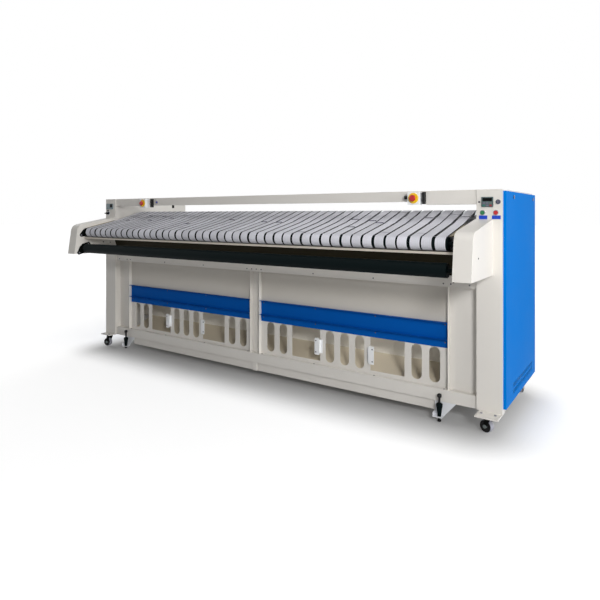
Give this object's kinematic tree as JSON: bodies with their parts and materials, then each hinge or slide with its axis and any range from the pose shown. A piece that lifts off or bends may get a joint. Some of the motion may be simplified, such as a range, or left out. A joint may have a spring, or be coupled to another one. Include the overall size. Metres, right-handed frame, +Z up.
{
  "type": "laundry feeding machine",
  "caption": "Wide free-standing laundry feeding machine: endless belts over rollers between two end cabinets, with a top beam, push buttons, casters and levelling jacks.",
  "frame": {"origin": "on the floor, under the centre of the machine's overall box", "axes": "+X along the machine to the operator's right, +Y from the operator's side to the back, +Z up"},
  "size_m": [3.8486, 1.369, 1.455],
  "materials": {
    "cream_paint": "semi-gloss powder coat",
    "blue_paint": "semi-gloss powder coat",
    "dark_blue_paint": "semi-gloss powder coat",
    "sand_paint": "satin paint",
    "black_paint": "satin paint",
    "white_paint": "semi-gloss paint",
    "grey_paint": "satin paint",
    "light_grey_paint": "fine-texture paint",
    "bearing_iron": "painted cast iron",
    "stainless": "brushed",
    "chain_steel": "oiled",
    "screw_steel": "zinc-plated",
    "bright_metal": "polished",
    "belt_fabric": "woven polyester",
    "roller_rubber": "smooth",
    "wheel_rubber": "satin",
    "black_rubber": "moulded",
    "white_plastic": "fine texture",
    "black_plastic": "fine texture",
    "inverter_plastic": "fine texture",
    "green_plastic": "glossy",
    "red_plastic": "glossy",
    "blue_plastic": "glossy"
  },
  "bodies": {
    "frame": {"left_column": "cream_paint", "right_column": "cream_paint", "cabinet_frames": "cream_paint", "inner_walls": "cream_paint", "side_covers": "blue_paint", "cabinet_covers": "cream_paint", "top_beam": "cream_paint", "beam_sleeve": "cream_paint", "front_rails": "cream_paint", "front_posts": "cream_paint", "upper_panels": "cream_paint", "blue_bands": "dark_blue_paint", "lower_panels": "cream_paint", "panel_grips": "white_plastic", "back_panels": "cream_paint", "end_covers": "cream_paint", "end_plates": "cream_paint", "bed_plate": "sand_paint", "front_lip": "sand_paint", "guide_plate": "black_paint", "belts": "belt_fabric", "delivery_chute": "stainless", "rear_beams": "cream_paint", "roller_bearings": "bearing_iron", "gearmotor": "grey_paint", "drive_chain": "chain_steel", "control_box": "light_grey_paint", "inverter": "inverter_plastic", "button_collars": "bright_metal", "column_display": "black_plastic", "estop_boxes": "white_plastic", "beam_sensors": "black_plastic", "caster_plates": "cream_paint", "jack_brackets": "white_paint", "jack_sleeves": "black_rubber", "screws": "screw_steel"},
    "front_roller": {"front_roller": "roller_rubber"},
    "drive_roller": {"drive_roller": "stainless"},
    "return_roller": {"return_roller": "stainless"},
    "lower_roller": {"lower_roller": "roller_rubber"},
    "motor_sprocket": {"motor_sprocket": "chain_steel"},
    "run_button": {"run_button": "green_plastic"},
    "stop_button": {"stop_button": "red_plastic"},
    "reset_button": {"reset_button": "blue_plastic"},
    "key_switch": {"key_switch": "bright_metal"},
    "main_switch": {"main_switch": "black_plastic"},
    "left_estop": {"left_estop": "red_plastic"},
    "right_estop": {"right_estop": "red_plastic"},
    "left_fork": {"left_fork": "black_paint"},
    "right_fork": {"right_fork": "black_paint"},
    "front_left_wheel": {"front_left_wheel": "wheel_rubber"},
    "front_right_wheel": {"front_right_wheel": "wheel_rubber"},
    "rear_left_wheel": {"rear_left_wheel": "wheel_rubber"},
    "rear_right_wheel": {"rear_right_wheel": "wheel_rubber"},
    "left_jack": {"left_jack": "black_paint"},
    "right_jack": {"right_jack": "black_paint"},
    "right_latch_front": {"right_latch_front": "bright_metal"},
    "right_latch_rear": {"right_latch_rear": "bright_metal"},
    "left_latch_front": {"left_latch_front": "bright_metal"},
    "left_latch_rear": {"left_latch_rear": "bright_metal"}
  },
  "joints": [
    {"name": "drive_roller_spin", "type": "hinge", "parent": "frame", "child": "drive_roller", "pos_m": [0, 0.0125, 1.278], "axis": [1, 0, 0], "continuous": true},
    {"name": "front_roller_spin", "type": "hinge", "parent": "frame", "child": "front_roller", "pos_m": [0, -0.5705, 1.14], "axis": [1, 0, 0], "continuous": true},
    {"name": "return_roller_spin", "type": "hinge", "parent": "frame", "child": "return_roller", "pos_m": [0, -0.26256, 1.13275], "axis": [1, 0, 0], "continuous": true},
    {"name": "motor_sprocket_spin", "type": "hinge", "parent": "frame", "child": "motor_sprocket", "pos_m": [1.81, 0.2485, 0.88], "axis": [1, 0, 0], "continuous": true},
    {"name": "lower_roller_spin", "type": "hinge", "parent": "frame", "child": "lower_roller", "pos_m": [0, -0.5915, 0.991], "axis": [1, 0, 0], "continuous": true},
    {"name": "run_button_push", "type": "slide", "parent": "frame", "child": "run_button", "axis": [0, 1, 0], "range_m": [0, 0.003], "stiffness_N_per_m": 300},
    {"name": "stop_button_push", "type": "slide", "parent": "frame", "child": "stop_button", "axis": [0, 1, 0], "range_m": [0, 0.003], "stiffness_N_per_m": 300},
    {"name": "reset_button_push", "type": "slide", "parent": "frame", "child": "reset_button", "axis": [0, 1, 0], "range_m": [0, 0.003], "stiffness_N_per_m": 300},
    {"name": "left_estop_push", "type": "slide", "parent": "frame", "child": "left_estop", "axis": [0, 1, 0], "range_m": [0, 0.005], "stiffness_N_per_m": 800},
    {"name": "right_estop_push", "type": "slide", "parent": "frame", "child": "right_estop", "axis": [0, 1, 0], "range_m": [0, 0.005], "stiffness_N_per_m": 800},
    {"name": "key_switch_turn", "type": "hinge", "parent": "frame", "child": "key_switch", "pos_m": [1.877, -0.2495, 1.379], "axis": [0, 1, 0], "range_deg": [0, 90]},
    {"name": "main_switch_turn", "type": "hinge", "parent": "frame", "child": "main_switch", "pos_m": [-1.855, -0.2495, 1.316], "axis": [0, 1, 0], "range_deg": [0, 90]},
    {"name": "left_fork_swivel", "type": "hinge", "parent": "frame", "child": "left_fork", "pos_m": [-1.831, -0.2445, 0.106], "axis": [0, 0, 1], "continuous": true},
    {"name": "front_left_wheel_spin", "type": "hinge", "parent": "left_fork", "child": "front_left_wheel", "pos_m": [-1.85235, -0.24982, 0.0375], "axis": [-0.2419, 0.9703, 0], "continuous": true},
    {"name": "rear_left_wheel_spin", "type": "hinge", "parent": "frame", "child": "rear_left_wheel", "pos_m": [-1.831, 0.6195, 0.0375], "axis": [1, 0, 0], "continuous": true},
    {"name": "right_fork_swivel", "type": "hinge", "parent": "frame", "child": "right_fork", "pos_m": [1.831, -0.2445, 0.106], "axis": [0, 0, 1], "continuous": true},
    {"name": "front_right_wheel_spin", "type": "hinge", "parent": "right_fork", "child": "front_right_wheel", "pos_m": [1.80985, -0.23844, 0.0375], "axis": [0.2756, 0.9613, 0], "continuous": true},
    {"name": "rear_right_wheel_spin", "type": "hinge", "parent": "frame", "child": "rear_right_wheel", "pos_m": [1.831, 0.6195, 0.0375], "axis": [1, 0, 0], "continuous": true},
    {"name": "left_jack_slide", "type": "slide", "parent": "frame", "child": "left_jack", "axis": [0, 0, 1], "range_m": [-0.03, 0.005]},
    {"name": "right_jack_slide", "type": "slide", "parent": "frame", "child": "right_jack", "axis": [0, 0, 1], "range_m": [-0.02, 0.015]},
    {"name": "left_latch_front_turn", "type": "hinge", "parent": "frame", "child": "left_latch_front", "pos_m": [-1.918, -0.0265, 1.412], "axis": [1, 0, 0], "range_deg": [0, 90]},
    {"name": "left_latch_rear_turn", "type": "hinge", "parent": "frame", "child": "left_latch_rear", "pos_m": [-1.918, 0.5935, 1.412], "axis": [1, 0, 0], "range_deg": [0, 90]},
    {"name": "right_latch_front_turn", "type": "hinge", "parent": "frame", "child": "right_latch_front", "pos_m": [1.918, -0.0265, 1.412], "axis": [1, 0, 0], "range_deg": [0, 90]},
    {"name": "right_latch_rear_turn", "type": "hinge", "parent": "frame", "child": "right_latch_rear", "pos_m": [1.918, 0.5935, 1.412], "axis": [1, 0, 0], "range_deg": [0, 90]}
  ],
  "couplings": [
    {"joint": "front_roller_spin", "follows": "drive_roller_spin", "ratio": 1.3},
    {"joint": "return_roller_spin", "follows": "drive_roller_spin", "ratio": -1.625},
    {"joint": "motor_sprocket_spin", "follows": "drive_roller_spin", "ratio": 1.5}
  ]
}
